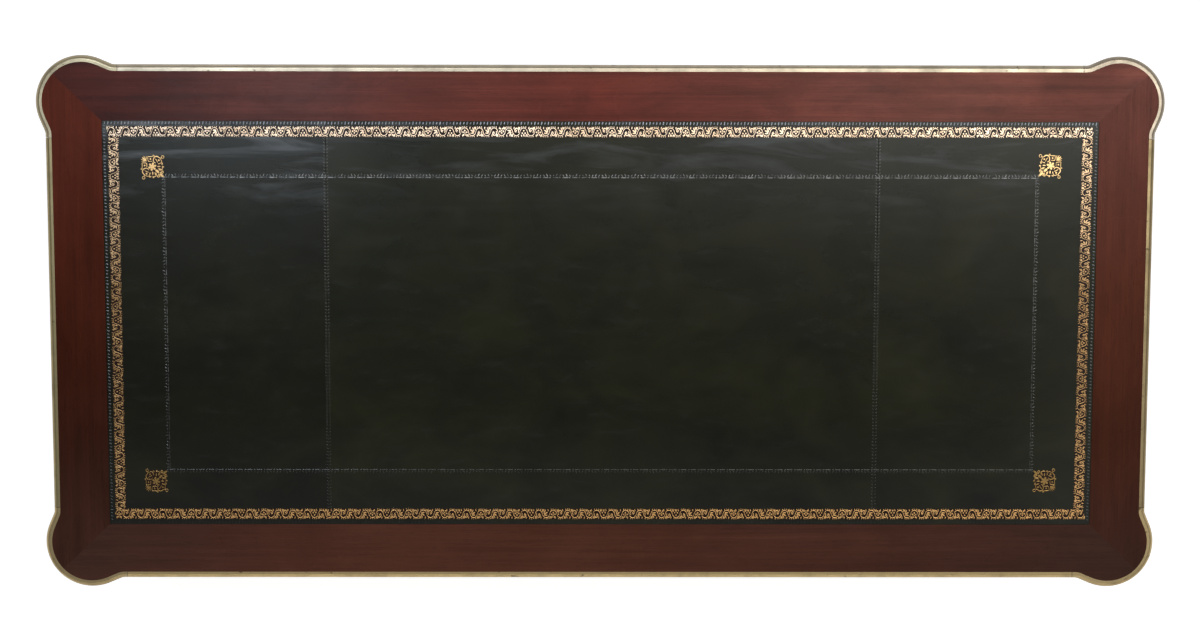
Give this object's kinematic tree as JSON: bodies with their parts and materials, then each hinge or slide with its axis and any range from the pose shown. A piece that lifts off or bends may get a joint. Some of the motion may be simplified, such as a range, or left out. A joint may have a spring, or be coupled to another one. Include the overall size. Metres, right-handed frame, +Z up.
{
  "type": "flat desk",
  "caption": "Flat writing desk with a leather-lined mahogany top, brass edge with round corners, frieze drawers with working locks, and turned fluted legs on brass feet.",
  "frame": {"origin": "on the floor, under the middle of the top", "axes": "+Z up; +X along the desk, to the right of a person seated at it; the drawers open towards -Y"},
  "size_m": [1.803, 0.863, 0.77],
  "materials": {
    "mahogany": "French polished",
    "oak": "bare, waxed",
    "leather": "gilt and blind tooled",
    "brass": "worn, lacquered",
    "steel": "dull"
  },
  "bodies": {
    "desk": {"top_border_front": "mahogany", "top_border_back": "mahogany", "top_border_left": "mahogany", "top_border_right": "mahogany", "leg_front_left": "mahogany", "leg_front_right": "mahogany", "leg_back_left": "mahogany", "leg_back_right": "mahogany", "apron_back": "mahogany", "apron_left": "mahogany", "apron_right": "mahogany", "front_top_rail": "mahogany", "front_bottom_rail": "mahogany", "drawer_stiles": "mahogany", "top_core_panel": "oak", "drawer_partitions": "oak", "drawer_runners": "oak", "drawer_kickers": "oak", "drawer_stops": "oak", "edge_moulding_front": "brass", "edge_moulding_back": "brass", "edge_moulding_left": "brass", "edge_moulding_right": "brass", "corner_moulding_front_left": "brass", "corner_moulding_front_right": "brass", "corner_moulding_back_left": "brass", "corner_moulding_back_right": "brass", "moulding_pins": "brass", "foot_sabots": "brass", "leg_rings": "brass", "leg_reeds": "brass", "apron_frames": "brass", "leather_left": "leather", "leather_centre": "leather", "leather_right": "leather", "top_screws": "steel"},
    "drawer_left": {"drawer_left_front": "mahogany", "drawer_left_sides": "oak", "drawer_left_back": "oak", "drawer_left_bottom": "oak", "drawer_left_brasses": "brass", "drawer_left_lock": "steel"},
    "key_left": {"drawer_left_key": "brass"},
    "bolt_left": {"drawer_left_lock_bolt": "steel"},
    "drawer_centre": {"drawer_centre_front": "mahogany", "drawer_centre_sides": "oak", "drawer_centre_back": "oak", "drawer_centre_bottom": "oak", "drawer_centre_brasses": "brass", "drawer_centre_lock": "steel"},
    "key_centre": {"drawer_centre_key": "brass"},
    "bolt_centre": {"drawer_centre_lock_bolt": "steel"},
    "drawer_right": {"drawer_right_front": "mahogany", "drawer_right_sides": "oak", "drawer_right_back": "oak", "drawer_right_bottom": "oak", "drawer_right_brasses": "brass", "drawer_right_lock": "steel"},
    "key_right": {"drawer_right_key": "brass"},
    "bolt_right": {"drawer_right_lock_bolt": "steel"}
  },
  "joints": [
    {"name": "drawer_left_slide", "type": "slide", "parent": "desk", "child": "drawer_left", "axis": [0, -1, 0], "range_m": [0, 0.42]},
    {"name": "key_left_turn", "type": "hinge", "parent": "drawer_left", "child": "key_left", "pos_m": [-0.5545, -0.38, 0.69], "axis": [0, -1, 0], "range_deg": [0, 180]},
    {"name": "bolt_left_throw", "type": "slide", "parent": "drawer_left", "child": "bolt_left", "axis": [0, 0, 1], "range_m": [0, 0.011]},
    {"name": "drawer_centre_slide", "type": "slide", "parent": "desk", "child": "drawer_centre", "axis": [0, -1, 0], "range_m": [0, 0.42]},
    {"name": "key_centre_turn", "type": "hinge", "parent": "drawer_centre", "child": "key_centre", "pos_m": [0, -0.38, 0.69], "axis": [0, -1, 0], "range_deg": [0, 180]},
    {"name": "bolt_centre_throw", "type": "slide", "parent": "drawer_centre", "child": "bolt_centre", "axis": [0, 0, 1], "range_m": [0, 0.011]},
    {"name": "drawer_right_slide", "type": "slide", "parent": "desk", "child": "drawer_right", "axis": [0, -1, 0], "range_m": [0, 0.42]},
    {"name": "key_right_turn", "type": "hinge", "parent": "drawer_right", "child": "key_right", "pos_m": [0.5545, -0.38, 0.69], "axis": [0, -1, 0], "range_deg": [0, 180]},
    {"name": "bolt_right_throw", "type": "slide", "parent": "drawer_right", "child": "bolt_right", "axis": [0, 0, 1], "range_m": [0, 0.011]}
  ],
  "couplings": [
    {"joint": "key_left_turn", "follows": "bolt_left_throw", "rad_per_m": 285.6},
    {"joint": "key_centre_turn", "follows": "bolt_centre_throw", "rad_per_m": 285.6},
    {"joint": "key_right_turn", "follows": "bolt_right_throw", "rad_per_m": 285.6}
  ]
}
